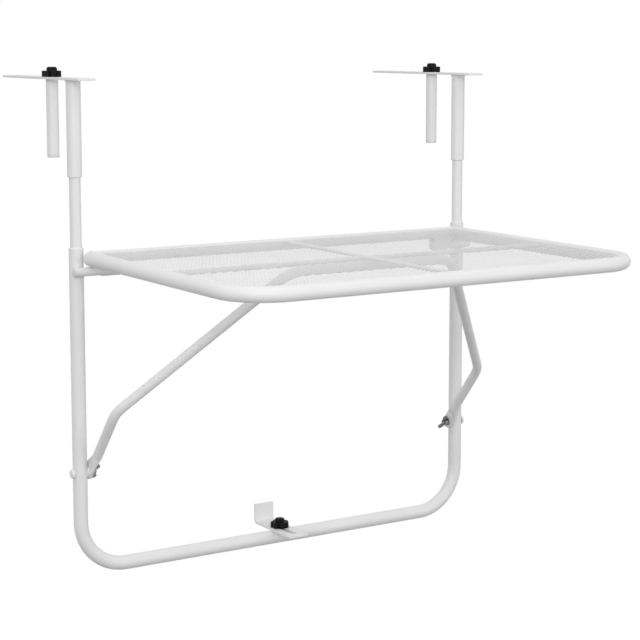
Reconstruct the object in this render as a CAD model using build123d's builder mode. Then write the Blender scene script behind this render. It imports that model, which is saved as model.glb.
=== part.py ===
"""Folding balcony table that hangs on a railing, as separate pieces, in millimetres.

The frame has X to the right, Y towards the railing and Z up. The origin lies midway between the two
hangers, in the plane of the uprights' axes, at the underside of the clamp plates, where the rail's top is.
"""
import os
from math import asin, atan2, cos, degrees, hypot, sin, sqrt

from build123d import *

os.makedirs("parts", exist_ok=True)

# Driving dimensions: the bent main frame
leg_spacing = 608.0
frame_tube_od = 19.0
frame_corner_radius = 64.0
leg_height = 428.0
tube_end_round = 1.0

# Driving dimensions: the two hangers with their rail clamps
extension_od = 15.0
extension_wall = 1.5
extension_shown = 91.0
extension_in_leg = 110.0
extension_in_sleeve = 90.0
sleeve_od = 19.0
sleeve_length = 124.0
plate_width = 25.0
plate_thickness = 3.0
plate_front_reach = 43.0
plate_length = 250.0
plate_corner_radius = 3.0
rail_gap = 49.0
rail_gap_least = 18.0
rail_gap_most = 165.0
post_od = 16.0
post_wall = 1.5
post_length = 102.0
post_cap_thickness = 4.0
post_cap_edge_radius = 1.2
post_collar_thickness = 4.0
post_plug_depth = 14.0

# Driving dimensions: the table top
table_width = 600.0
table_depth = 420.0
rim_tube_od = 19.0
rim_tube_wall = 1.2
rim_corner_radius = 58.0
rim_height = 414.0
rim_end_gap = 3.5
rim_plug_dome = 3.0
rim_plug_depth = 14.0
rear_tube_od = 16.0
rear_tube_wall = 1.2
mid_bar_od = 7.0
mid_bar_wall = 1.0
bar_width = 12.0
bar_thickness = 3.0
bar_rise = 3.2
net_thickness = 1.0
net_columns = 21
net_rows = 14
net_strand = 3.0

# Driving dimensions: the hinge under the table's rear tube
stub_od = 12.0
stub_wall = 1.2
stub_seat = 1.0
stub_plug_dome = 1.5
stub_plug_depth = 10.0
stub_gap = 0.5
strap_thickness = 1.2
strap_width = 26.0
strap_end_gap = 1.0
strap_side_gap = 5.5

# Driving dimensions: the brace and its pivots
brace_tube_od = 13.0
brace_tube_wall = 1.2
brace_pivot_height = 130.5
brace_leg_inset = 16.0
brace_bar_gap = 9.0
brace_knee = 120.0
brace_corner_half_width = 122.0
brace_knee_radius = 45.0
brace_corner_radius = 40.0
tongue_thickness = 3.0
tongue_width = 19.0
tongue_length = 16.0
tongue_blend = 16.0
tongue_edge_share = 0.48
round_end_share = 0.499
pivot_bolt_diameter = 6.0
pivot_head_diameter = 13.0
pivot_head_height = 3.6
saddle_diameter = 16.0
saddle_thickness = 1.2
saddle_wrap = 3.8
wing_hub_diameter = 11.0
wing_hub_height = 6.5
wing_hub_taper = 8.0
wing_span = 26.0
wing_height = 12.0
wing_thickness = 2.4
wing_tip_radius = 3.6
wing_root_radius = 2.6
wing_root_reach = 3.0
wing_root_height = 3.2
bolt_overhang = 2.0

# Driving dimensions: the foot bracket, the knobs and the small screws
bracket_width = 30.0
bracket_thickness = 3.0
bracket_front = 52.0
bracket_rear = 46.0
bracket_upright_height = 28.0
bracket_bend_radius = 3.0
bracket_travel = 36.0
slot_width = 8.0
slot_spare = 1.0
knob_diameter = 26.0
knob_flange_height = 8.0
knob_height = 13.0
knob_dome_diameter = 14.0
knob_lobes = 7
knob_lobe_radius = 4.2
knob_edge_radius = 1.2
knob_dome_edge_radius = 3.0
stud_diameter = 6.0
stud_tip_chamfer = 0.6
stud_in_grip = 7.0
stud_reach = 11.0
rivet_nut_diameter = 9.0
rivet_nut_length = 13.0
lock_screw_diameter = 5.0
lock_screw_drop = 20.0
lock_head_diameter = 9.0
lock_head_height = 2.8
head_round_share = 0.8

# Clearances
slide_clearance = 0.05
running_clearance = 0.05
seat_clearance = 0.05
weld_clearance = 0.05
hole_clearance = 0.1
latch_clearance = 0.4

# Values that follow from the sizes above
leg_x = leg_spacing / 2
frame_radius = frame_tube_od / 2
leg_bore = extension_od + 2 * slide_clearance
leg_top_z = -(sleeve_length + extension_shown)
bar_z = leg_top_z - leg_height
bar_top_z = bar_z + frame_radius

rim_radius = rim_tube_od / 2
rim_bore = rim_tube_od - 2 * rim_tube_wall
rim_z = bar_z + rim_height
rim_x = table_width / 2 - rim_radius
stub_radius = stub_od / 2
strap_outer_x = min(rim_x - rim_radius, leg_x - frame_radius) - strap_side_gap
strap_x = strap_outer_x - strap_width / 2
stub_inner_x = strap_x - strap_width / 2 - strap_end_gap
stub_outer_x = leg_x + frame_radius
stub_length = stub_outer_x - stub_inner_x
hinge_y = -(frame_radius + stub_radius - stub_seat)
hinge_z = rim_z - rim_radius - stub_gap - stub_radius
rim_rear_y = hinge_y
rear_tube_radius = rear_tube_od / 2
rear_tube_z = rim_z + rim_radius - rear_tube_radius
rim_front_y = rim_rear_y - (table_depth - rim_tube_od)
rim_end_y = -(frame_radius + rim_end_gap)
bar_low_z = rim_z + bar_rise
net_low_z = bar_low_z + bar_thickness
middle_y = (rim_rear_y + rim_front_y) / 2
mid_bar_radius = mid_bar_od / 2
mid_bar_z = net_low_z - mid_bar_radius

pivot_z = bar_z + brace_pivot_height
brace_rise = bar_low_z - latch_clearance - brace_tube_od / 2 - pivot_z
brace_reach = -middle_y + mid_bar_radius + brace_bar_gap + brace_tube_od / 2
brace_length = hypot(brace_reach, brace_rise)
brace_tilt = atan2(brace_reach, brace_rise)
brace_leg_x = leg_x - brace_leg_inset
post_y = sleeve_od / 2 + rail_gap + post_od / 2
post_y_least = post_y - (rail_gap - rail_gap_least)
post_y_most = post_y + (rail_gap_most - rail_gap)
tongue_outer_x = leg_x - frame_radius - saddle_thickness - running_clearance
tongue_inner_x = tongue_outer_x - tongue_thickness
wing_seat_x = tongue_inner_x - running_clearance

sides = (("left", -1), ("right", 1))


def chord(radius, height):
    """Half the width of a round tube at a height above its axis."""
    return sqrt(radius**2 - height**2)


# Main frame: one tube bent into a U, with its holes for the pivots, the lock screws and the foot's nut
with BuildPart() as base_frame:
    with BuildLine(Plane.XZ) as frame_line:
        FilletPolyline(
            (-leg_x, leg_top_z),
            (-leg_x, bar_z),
            (leg_x, bar_z),
            (leg_x, leg_top_z),
            radius=frame_corner_radius,
        )
    with BuildSketch(Plane(origin=frame_line.line @ 0, z_dir=frame_line.line % 0)):
        Circle(frame_radius)
        Circle(leg_bore / 2, mode=Mode.SUBTRACT)
    sweep()
    leg_top_edges = base_frame.edges().filter_by(GeomType.CIRCLE).group_by(Axis.Z)[-1]
    fillet(leg_top_edges.sort_by(SortBy.RADIUS)[-2:], tube_end_round)
    with Locations((-leg_x, 0, pivot_z), (leg_x, 0, pivot_z)):
        Cylinder(
            pivot_bolt_diameter / 2 + hole_clearance,
            2 * frame_tube_od,
            rotation=(0, 90, 0),
            mode=Mode.SUBTRACT,
        )
    with Locations((-leg_x, 0, leg_top_z - lock_screw_drop), (leg_x, 0, leg_top_z - lock_screw_drop)):
        Cylinder(
            lock_screw_diameter / 2 + hole_clearance,
            frame_tube_od,
            rotation=(-90, 0, 0),
            align=(Align.CENTER, Align.CENTER, Align.MIN),
            mode=Mode.SUBTRACT,
        )
    with Locations((0, 0, bar_z)):
        Cylinder(
            rivet_nut_diameter / 2 + seat_clearance,
            frame_tube_od,
            align=(Align.CENTER, Align.CENTER, Align.MIN),
            mode=Mode.SUBTRACT,
        )
base_frame.part.label = "base_frame"
export_step(base_frame.part, "parts/base_frame.step")

# Hinge stubs: short tubes welded across the fronts of the uprights, which the table top turns on
with BuildPart() as hinge_stubs:
    for _, sign in sides:
        with BuildSketch(Plane((sign * stub_inner_x, hinge_y, hinge_z), z_dir=(sign, 0, 0))):
            Circle(stub_radius)
            Circle(stub_radius - stub_wall, mode=Mode.SUBTRACT)
        extrude(amount=stub_length)
    with Locations((-leg_x, 0, hinge_z), (leg_x, 0, hinge_z)):
        Cylinder(frame_radius + weld_clearance, 3 * stub_od, mode=Mode.SUBTRACT)
hinge_stubs.part.label = "hinge_stubs"
export_step(hinge_stubs.part, "parts/hinge_stubs.step")


def domed_plug(seat, spigot_radius, spigot_depth, cap_radius, dome):
    """Revolve a tube plug: a shallow dome over a spigot that goes into the tube from the seat plane."""
    dome_radius = (cap_radius**2 + dome**2) / (2 * dome)
    dome_middle = asin(cap_radius / dome_radius) / 2
    with BuildPart() as plug:
        with BuildSketch(Plane.XZ):
            with BuildLine():
                Polyline(
                    (0, dome),
                    (0, -spigot_depth),
                    (spigot_radius, -spigot_depth),
                    (spigot_radius, 0),
                    (cap_radius, 0),
                )
                ThreePointArc(
                    (cap_radius, 0),
                    (dome_radius * sin(dome_middle), dome_radius * (cos(dome_middle) - 1) + dome),
                    (0, dome),
                )
            make_face()
        revolve(axis=Axis.Z)
    return seat * plug.part


# Plugs in both open ends of each hinge stub
stub_plug_radius = stub_radius - stub_wall - seat_clearance
with BuildPart() as hinge_stub_plugs:
    for _, sign in sides:
        for end_x, facing in ((stub_outer_x, sign), (stub_inner_x, -sign)):
            stub_end = Plane((sign * end_x, hinge_y, hinge_z), z_dir=(facing, 0, 0))
            add(domed_plug(stub_end, stub_plug_radius, stub_plug_depth, stub_radius, stub_plug_dome))
    with Locations((-leg_x, 0, hinge_z), (leg_x, 0, hinge_z)):
        Cylinder(frame_radius + weld_clearance, 3 * stub_od, mode=Mode.SUBTRACT)
hinge_stub_plugs.part.label = "hinge_stub_plugs"
export_step(hinge_stub_plugs.part, "parts/hinge_stub_plugs.step")

# Pivot bolts: round heads outside the uprights, shanks that reach through the brace and the wing nuts
bolt_tip_x = wing_seat_x - wing_hub_height - bolt_overhang
bolt_seat_x = leg_x + frame_radius
with BuildPart() as pivot_bolts:
    for _, sign in sides:
        with BuildSketch(Plane((sign * bolt_tip_x, 0, pivot_z), z_dir=(sign, 0, 0))):
            Circle(pivot_bolt_diameter / 2)
        extrude(amount=bolt_seat_x - bolt_tip_x)
        with BuildSketch(Plane((sign * bolt_seat_x, 0, pivot_z), z_dir=(sign, 0, 0))):
            Circle(pivot_head_diameter / 2)
        extrude(amount=pivot_head_height)
    head_edges = pivot_bolts.edges().filter_by(GeomType.CIRCLE).sort_by(Axis.X)
    fillet([head_edges[0], head_edges[-1]], pivot_head_height * head_round_share)
pivot_bolts.part.label = "pivot_bolts"
export_step(pivot_bolts.part, "parts/pivot_bolts.step")

# Saddle washers: flat towards the brace, hollowed to sit round the uprights
saddle_face_x = leg_x - frame_radius - saddle_thickness
with BuildPart() as pivot_saddles:
    for _, sign in sides:
        with BuildSketch(Plane((sign * saddle_face_x, 0, pivot_z), z_dir=(sign, 0, 0))):
            Circle(saddle_diameter / 2)
            Circle(pivot_bolt_diameter / 2 + hole_clearance, mode=Mode.SUBTRACT)
        extrude(amount=saddle_thickness + saddle_wrap)
    with Locations((-leg_x, 0, pivot_z), (leg_x, 0, pivot_z)):
        Cylinder(frame_radius + seat_clearance, 3 * saddle_diameter, mode=Mode.SUBTRACT)
pivot_saddles.part.label = "pivot_saddles"
export_step(pivot_saddles.part, "parts/pivot_saddles.step")

# Rivet nut in the top of the bottom bar, for the foot knob's stud
with BuildPart() as foot_rivet_nut:
    with BuildSketch(Plane.XY.offset(bar_top_z - seat_clearance)):
        Circle(rivet_nut_diameter / 2)
        Circle(stud_diameter / 2 + running_clearance, mode=Mode.SUBTRACT)
    extrude(amount=-rivet_nut_length)
foot_rivet_nut.part.label = "foot_rivet_nut"
export_step(foot_rivet_nut.part, "parts/foot_rivet_nut.step")

# Lock screws at the back of the legs, which pinch the extension tubes at the set height
lock_tip_y = extension_od / 2 + slide_clearance
lock_seat_y = frame_radius
with BuildPart() as height_lock_screws:
    for _, sign in sides:
        lock_centre = (sign * leg_x, lock_tip_y, leg_top_z - lock_screw_drop)
        with BuildSketch(Plane(lock_centre, z_dir=(0, 1, 0))):
            Circle(lock_screw_diameter / 2)
        extrude(amount=lock_seat_y - lock_tip_y)
        head_seat = (sign * leg_x, lock_seat_y, leg_top_z - lock_screw_drop)
        with BuildSketch(Plane(head_seat, z_dir=(0, 1, 0))):
            Circle(lock_head_diameter / 2)
        extrude(amount=lock_head_height)
    lock_outer_edges = height_lock_screws.edges().filter_by(GeomType.CIRCLE).group_by(Axis.Y)[-1]
    fillet(lock_outer_edges, lock_head_height * head_round_share)
height_lock_screws.part.label = "height_lock_screws"
export_step(height_lock_screws.part, "parts/height_lock_screws.step")

# Table rim: one tube bent round the front and both sides
with BuildPart() as table_rim:
    with BuildLine(Plane.XY.offset(rim_z)) as rim_line:
        FilletPolyline(
            (-rim_x, rim_end_y),
            (-rim_x, rim_front_y),
            (rim_x, rim_front_y),
            (rim_x, rim_end_y),
            radius=rim_corner_radius,
        )
    with BuildSketch(Plane(origin=rim_line.line @ 0, z_dir=rim_line.line % 0)):
        Circle(rim_radius)
        Circle(rim_bore / 2, mode=Mode.SUBTRACT)
    sweep()
table_rim.part.label = "table_rim"
export_step(table_rim.part, "parts/table_rim.step")


def side_tube_cutters(radius):
    """Round cutters along the rim's two side tubes, for ends that are coped to them."""
    cutters = []
    for _, sign in sides:
        cutter = Cylinder(radius, 2 * table_depth, rotation=(90, 0, 0), mode=Mode.PRIVATE)
        cutters.append(Pos(sign * rim_x, 0, rim_z) * cutter)
    return cutters


# Rear tube of the table, thinner than the rim and level with its top, coped between the side tubes
with BuildPart() as table_rear_tube:
    with BuildSketch(Plane.YZ.offset(-rim_x)):
        with Locations((rim_rear_y, rear_tube_z)):
            Circle(rear_tube_radius)
            Circle(rear_tube_radius - rear_tube_wall, mode=Mode.SUBTRACT)
    extrude(amount=2 * rim_x)
    add(side_tube_cutters(rim_radius + weld_clearance), mode=Mode.SUBTRACT)
table_rear_tube.part.label = "table_rear_tube"
export_step(table_rear_tube.part, "parts/table_rear_tube.step")

# Plugs in the rear ends of the rim
rim_plug_radius = rim_bore / 2 - seat_clearance
with BuildPart() as rim_end_plugs:
    for _, sign in sides:
        rim_end = Plane((sign * rim_x, rim_end_y, rim_z), z_dir=(0, 1, 0))
        add(domed_plug(rim_end, rim_plug_radius, rim_plug_depth, rim_radius, rim_plug_dome))
rim_end_plugs.part.label = "rim_end_plugs"
export_step(rim_end_plugs.part, "parts/rim_end_plugs.step")

# Middle bar across the table, a thin tube right under the net, coped to the side tubes
with BuildPart() as table_mid_bar:
    with BuildSketch(Plane.YZ.offset(-rim_x)):
        with Locations((middle_y, mid_bar_z)):
            Circle(mid_bar_radius)
            Circle(mid_bar_radius - mid_bar_wall, mode=Mode.SUBTRACT)
    extrude(amount=2 * rim_x)
    add(side_tube_cutters(rim_radius + weld_clearance), mode=Mode.SUBTRACT)
table_mid_bar.part.label = "table_mid_bar"
export_step(table_mid_bar.part, "parts/table_mid_bar.step")

# Spine: two flat strips from the rear tube to the middle bar and on to the front tube
spine_gap = mid_bar_radius + weld_clearance
with BuildPart() as table_spine_bars:
    with BuildSketch(Plane.XY.offset(bar_low_z)):
        with Locations((0, (rim_rear_y + middle_y + spine_gap) / 2)):
            Rectangle(bar_width, rim_rear_y - middle_y - spine_gap)
        with Locations((0, (rim_front_y + middle_y - spine_gap) / 2)):
            Rectangle(bar_width, middle_y - spine_gap - rim_front_y)
    extrude(amount=bar_thickness)
    with Locations((0, rim_rear_y, rear_tube_z)):
        Cylinder(rear_tube_radius + weld_clearance, 4 * bar_width, rotation=(0, 90, 0), mode=Mode.SUBTRACT)
    with Locations((0, rim_front_y, rim_z)):
        Cylinder(rim_radius + weld_clearance, 4 * bar_width, rotation=(0, 90, 0), mode=Mode.SUBTRACT)
table_spine_bars.part.label = "table_spine_bars"
export_step(table_spine_bars.part, "parts/table_spine_bars.step")

# Net: one thin holed sheet inside the rim, lying on the bars
net_inset = chord(rim_radius, net_low_z - rim_z) + weld_clearance
net_half_width = rim_x - net_inset
net_rear_y = rim_rear_y - chord(rear_tube_radius, net_low_z - rear_tube_z) - weld_clearance
net_front_y = rim_front_y + net_inset
net_depth = net_rear_y - net_front_y
net_corner_radius = rim_corner_radius - net_inset
net_pitch_x = 2 * net_half_width / net_columns
net_pitch_y = net_depth / net_rows
net_centre = (0, (net_rear_y + net_front_y) / 2)
gap_count = net_columns * net_rows
with BuildPart() as table_net:
    with BuildSketch(Plane.XY.offset(net_low_z)) as net_outline:
        with Locations(net_centre):
            Rectangle(2 * net_half_width, net_depth)
        fillet(net_outline.vertices().group_by(Axis.Y)[0], net_corner_radius)
        with BuildSketch(Plane.XY, mode=Mode.SUBTRACT):
            with Locations(net_centre):
                with GridLocations(net_pitch_x, net_pitch_y, net_columns, net_rows):
                    Rectangle(net_pitch_x - net_strand, net_pitch_y - net_strand)
            with BuildSketch(Plane.XY, mode=Mode.INTERSECT) as gap_limit:
                with Locations(net_centre):
                    Rectangle(2 * net_half_width - net_strand, net_depth - net_strand)
                fillet(gap_limit.vertices().group_by(Axis.Y)[0], net_corner_radius - net_strand / 2)
    extrude(amount=net_thickness)
table_net.part.label = "table_net"
export_step(table_net.part, "parts/table_net.step")

# Hinge straps: bent loops round the stubs, welded with both ends under the rear tube
strap_bore = stub_radius + running_clearance
strap_rise = rear_tube_z - hinge_z
with BuildPart() as hinge_straps:
    for _, sign in sides:
        with BuildSketch(Plane.YZ.offset(sign * strap_x - strap_width / 2)):
            with Locations((hinge_y, hinge_z)):
                Circle(strap_bore + strap_thickness)
            with Locations((hinge_y, hinge_z + strap_rise / 2)):
                Rectangle(2 * (strap_bore + strap_thickness), strap_rise)
                Rectangle(2 * strap_bore, strap_rise, mode=Mode.SUBTRACT)
            with Locations((hinge_y, hinge_z)):
                Circle(strap_bore, mode=Mode.SUBTRACT)
            with Locations((rim_rear_y, rear_tube_z)):
                Circle(rear_tube_radius + weld_clearance, mode=Mode.SUBTRACT)
        extrude(amount=strap_width)
hinge_straps.part.label = "hinge_straps"
export_step(hinge_straps.part, "parts/hinge_straps.step")

# Brace: one bent tube in a plane that leans forward, with both ends pressed flat into bolted tongues
brace_direction = Vector(0, -sin(brace_tilt), cos(brace_tilt))
brace_plane = Plane(
    origin=(0, 0, pivot_z),
    x_dir=(1, 0, 0),
    z_dir=(0, -cos(brace_tilt), -sin(brace_tilt)),
)
round_start = tongue_length + tongue_blend
tongue_middle_x = (tongue_outer_x + tongue_inner_x) / 2


def brace_section(x, along):
    """Plane square to the brace's legs at a distance along them, with its x axis across the table."""
    return Plane(
        origin=brace_plane.from_local_coords((x, along, 0)),
        x_dir=(1, 0, 0),
        z_dir=brace_direction,
    )


with BuildPart() as brace:
    with BuildLine(brace_plane) as brace_line:
        FilletPolyline(
            (-brace_leg_x, round_start),
            (-brace_leg_x, brace_knee),
            (-brace_corner_half_width, brace_length),
            (brace_corner_half_width, brace_length),
            (brace_leg_x, brace_knee),
            (brace_leg_x, round_start),
            radius=[brace_knee_radius, brace_corner_radius, brace_corner_radius, brace_knee_radius],
        )
    with BuildSketch(Plane(origin=brace_line.line @ 0, z_dir=brace_line.line % 0)):
        Circle(brace_tube_od / 2)
        Circle(brace_tube_od / 2 - brace_tube_wall, mode=Mode.SUBTRACT)
    sweep()
    for _, sign in sides:
        with BuildSketch(brace_section(sign * tongue_middle_x, tongue_length)):
            RectangleRounded(tongue_thickness, tongue_width, tongue_thickness * tongue_edge_share)
        with BuildSketch(brace_section(sign * brace_leg_x, round_start)):
            RectangleRounded(brace_tube_od, brace_tube_od, brace_tube_od * round_end_share)
        loft()
        tongue_plane = Plane(
            origin=(sign * tongue_middle_x, 0, pivot_z),
            x_dir=brace_direction,
            z_dir=(1, 0, 0),
        )
        with BuildSketch(tongue_plane):
            Circle(tongue_width / 2)
            with Locations((tongue_length / 2, 0)):
                Rectangle(tongue_length, tongue_width)
            Circle(pivot_bolt_diameter / 2 + running_clearance, mode=Mode.SUBTRACT)
        extrude(amount=tongue_thickness / 2, both=True)
brace.part.label = "brace"
export_step(brace.part, "parts/brace.step")

# Wing nuts on the inner ends of the pivot bolts
wing_tip_reach = wing_span / 2 - wing_tip_radius
wing_tip_height = wing_height - wing_tip_radius
for side, sign in sides:
    nut_plane = Plane(
        origin=(sign * wing_seat_x, 0, pivot_z),
        x_dir=brace_direction,
        z_dir=(-sign, 0, 0),
    )
    with BuildPart() as wing_nut:
        with BuildSketch(nut_plane):
            Circle(wing_hub_diameter / 2)
        extrude(amount=wing_hub_height, taper=wing_hub_taper)
        wing_face = Plane(origin=nut_plane.origin, x_dir=nut_plane.x_dir, z_dir=-nut_plane.y_dir)
        for direction in (-1, 1):
            with BuildSketch(wing_face):
                with Locations((direction * wing_tip_reach, wing_tip_height)):
                    Circle(wing_tip_radius)
                with Locations((direction * wing_root_reach, wing_root_height)):
                    Circle(wing_root_radius)
                make_hull()
            extrude(amount=wing_thickness / 2, both=True)
        with BuildSketch(nut_plane):
            Circle(pivot_bolt_diameter / 2 + running_clearance)
        extrude(amount=wing_height, mode=Mode.SUBTRACT)
    wing_nut.part.label = f"{side}_wing_nut"
    export_step(wing_nut.part, f"parts/{side}_wing_nut.step")

# Hangers: extension tube, sleeve and clamp plate of each side
sleeve_bore = extension_od + 2 * seat_clearance
extension_top_z = -(sleeve_length - extension_in_sleeve)
extension_low_z = leg_top_z - extension_in_leg
plate_middle_y = plate_length / 2 - plate_front_reach
slot_ends = stud_diameter / 2 + slot_spare
for side, sign in sides:
    with BuildPart() as extension_tube:
        with BuildSketch(Plane.XY.offset(extension_low_z)):
            with Locations((sign * leg_x, 0)):
                Circle(extension_od / 2)
                Circle(extension_od / 2 - extension_wall, mode=Mode.SUBTRACT)
        extrude(amount=extension_top_z - extension_low_z)
    extension_tube.part.label = f"{side}_extension_tube"
    export_step(extension_tube.part, f"parts/{side}_extension_tube.step")

    with BuildPart() as clamp_sleeve:
        with BuildSketch(Plane.XY.offset(-sleeve_length)):
            with Locations((sign * leg_x, 0)):
                Circle(sleeve_od / 2)
                Circle(sleeve_bore / 2, mode=Mode.SUBTRACT)
        extrude(amount=sleeve_length)
        sleeve_mouth_edges = clamp_sleeve.edges().filter_by(GeomType.CIRCLE).group_by(Axis.Z)[0]
        fillet(sleeve_mouth_edges.sort_by(SortBy.RADIUS)[-1], tube_end_round)
    clamp_sleeve.part.label = f"{side}_clamp_sleeve"
    export_step(clamp_sleeve.part, f"parts/{side}_clamp_sleeve.step")

    with BuildPart() as clamp_plate:
        with BuildSketch(Plane.XY):
            with Locations((sign * leg_x, plate_middle_y)):
                RectangleRounded(plate_width, plate_length, plate_corner_radius)
            with Locations((sign * leg_x, (post_y_least + post_y_most) / 2)):
                SlotOverall(
                    post_y_most - post_y_least + 2 * slot_ends,
                    slot_width,
                    rotation=90,
                    mode=Mode.SUBTRACT,
                )
        extrude(amount=plate_thickness)
    clamp_plate.part.label = f"{side}_clamp_plate"
    export_step(clamp_plate.part, f"parts/{side}_clamp_plate.step")

# Clamp posts: a round tube with a threaded plug at the top and a cap at its foot
post_bore_radius = post_od / 2 - post_wall
post_fill_radius = post_bore_radius - seat_clearance
post_tube_top_z = -(slide_clearance + post_collar_thickness)
post_tube_low_z = -(post_length - post_cap_thickness)
stud_radius = stud_diameter / 2
for side, sign in sides:
    with BuildPart() as clamp_post:
        with BuildSketch(Plane.XY.offset(post_tube_low_z)):
            with Locations((sign * leg_x, post_y)):
                Circle(post_od / 2)
                Circle(post_bore_radius, mode=Mode.SUBTRACT)
        extrude(amount=post_tube_top_z - post_tube_low_z)
    clamp_post.part.label = f"{side}_clamp_post"
    export_step(clamp_post.part, f"parts/{side}_clamp_post.step")

    with BuildPart() as post_top_plug:
        with BuildSketch(Plane.XY.offset(post_tube_top_z)):
            with Locations((sign * leg_x, post_y)):
                Circle(post_od / 2)
        extrude(amount=post_collar_thickness)
        with BuildSketch(Plane.XY.offset(post_tube_top_z)):
            with Locations((sign * leg_x, post_y)):
                Circle(post_fill_radius)
        extrude(amount=-post_plug_depth)
        with BuildSketch(Plane.XY):
            with Locations((sign * leg_x, post_y)):
                Circle(stud_radius + running_clearance)
        extrude(amount=-post_length / 2, mode=Mode.SUBTRACT)
    post_top_plug.part.label = f"{side}_post_top_plug"
    export_step(post_top_plug.part, f"parts/{side}_post_top_plug.step")

    with BuildPart() as post_end_cap:
        with BuildSketch(Plane.XY.offset(post_tube_low_z)):
            with Locations((sign * leg_x, post_y)):
                Circle(post_od / 2)
        extrude(amount=-post_cap_thickness)
        fillet(post_end_cap.edges().group_by(Axis.Z)[0], post_cap_edge_radius)
        with BuildSketch(Plane.XY.offset(post_tube_low_z)):
            with Locations((sign * leg_x, post_y)):
                Circle(post_fill_radius)
        extrude(amount=post_plug_depth)
    post_end_cap.part.label = f"{side}_post_end_cap"
    export_step(post_end_cap.part, f"parts/{side}_post_end_cap.step")


def knob_grip(seat):
    """Star knob: a lobed flange with soft edges under a small dome, hollow below for its stud."""
    lobe_ring = knob_diameter / 2 - knob_lobe_radius
    with BuildPart() as grip:
        with BuildSketch():
            Circle(lobe_ring)
            with PolarLocations(lobe_ring, knob_lobes):
                Circle(knob_lobe_radius)
        extrude(amount=knob_flange_height)
        flange_edges = grip.faces().sort_by(Axis.Z)[-1].edges()
        fillet(flange_edges, knob_edge_radius)
        with BuildSketch(Plane.XY.offset(knob_flange_height)):
            Circle(knob_dome_diameter / 2)
        extrude(amount=knob_height - knob_flange_height)
        fillet(grip.edges().group_by(Axis.Z)[-1], knob_dome_edge_radius)
        with BuildSketch():
            Circle(stud_radius + seat_clearance)
        extrude(amount=stud_in_grip + seat_clearance, mode=Mode.SUBTRACT)
    return Pos(*seat) * grip.part


def knob_stud(seat, reach):
    """Threaded stud of a knob, from inside the grip down to what it screws into."""
    with BuildPart() as stud:
        with BuildSketch(Plane.XY.offset(-reach)):
            Circle(stud_radius)
        extrude(amount=reach + stud_in_grip)
        chamfer(stud.edges().group_by(Axis.Z)[0], stud_tip_chamfer)
    return Pos(*seat) * stud.part


# Knobs: one over each clamp post and one over the foot bracket
bracket_low_z = bar_top_z + seat_clearance
bracket_top_z = bracket_low_z + bracket_thickness
clamp_seat_z = plate_thickness + seat_clearance
foot_seat_z = bracket_top_z + seat_clearance
clamp_stud_reach = clamp_seat_z + post_collar_thickness + stud_reach
foot_stud_reach = foot_seat_z - bar_top_z + stud_reach
knobs = (
    ("left_clamp", (-leg_x, post_y, clamp_seat_z), clamp_stud_reach),
    ("right_clamp", (leg_x, post_y, clamp_seat_z), clamp_stud_reach),
    ("foot", (0, 0, foot_seat_z), foot_stud_reach),
)
for name, seat, reach in knobs:
    with BuildPart() as grip_part:
        add(knob_grip(seat))
    grip_part.part.label = f"{name}_knob_grip"
    export_step(grip_part.part, f"parts/{name}_knob_grip.step")

    with BuildPart() as stud_part:
        add(knob_stud(seat, reach))
    stud_part.part.label = f"{name}_knob_stud"
    export_step(stud_part.part, f"parts/{name}_knob_stud.step")

# Foot bracket: a bent strip on the bottom bar, whose upright leg bears on the railing's bars
slot_front = -(bracket_travel + slot_ends)
with BuildPart() as foot_bracket:
    with BuildSketch(Plane.YZ.offset(-bracket_width / 2)) as bracket_outline:
        with BuildLine():
            Polyline(
                (-bracket_front, bracket_low_z),
                (bracket_rear, bracket_low_z),
                (bracket_rear, bracket_low_z + bracket_upright_height),
                (bracket_rear - bracket_thickness, bracket_low_z + bracket_upright_height),
                (bracket_rear - bracket_thickness, bracket_top_z),
                (-bracket_front, bracket_top_z),
                close=True,
            )
        make_face()
        heel = bracket_outline.vertices().sort_by_distance((bracket_rear, bracket_low_z))[0]
        fillet(heel, bracket_bend_radius + bracket_thickness)
        throat_point = (bracket_rear - bracket_thickness, bracket_top_z)
        throat = bracket_outline.vertices().sort_by_distance(throat_point)[0]
        fillet(throat, bracket_bend_radius)
    extrude(amount=bracket_width)
    with BuildSketch(Plane.XY.offset(bracket_low_z)):
        with Locations((0, (slot_front + slot_ends) / 2)):
            SlotOverall(slot_ends - slot_front, slot_width, rotation=90)
    extrude(amount=bracket_thickness, mode=Mode.SUBTRACT)
foot_bracket.part.label = "foot_bracket"
export_step(foot_bracket.part, "parts/foot_bracket.step")

# Sizes that a user of the part reads off
print(f"overall height {knob_height + clamp_seat_z - bar_z + frame_radius:.1f}")
print(f"hinge axis at y {hinge_y:.2f}, z {hinge_z:.2f}; brace pivot at z {pivot_z:.2f}")
print(f"brace leans {degrees(brace_tilt):.2f} degrees forward")
print(f"gaps in the net: {gap_count} at most")
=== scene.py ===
"""Looks of a white folding balcony table that hangs on a railing.

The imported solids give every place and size. This script gives each solid its finish, lays expanded
metal in the table's rim, rounds the edges of the cut strips, adds weld beads and screw threads, and
sets up a plain studio with the photograph's view. Lengths are in metres, or in millimetres where a
name ends in _mm.
"""
import logging
import math
from dataclasses import dataclass, field
from enum import Enum
from typing import Any

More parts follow.
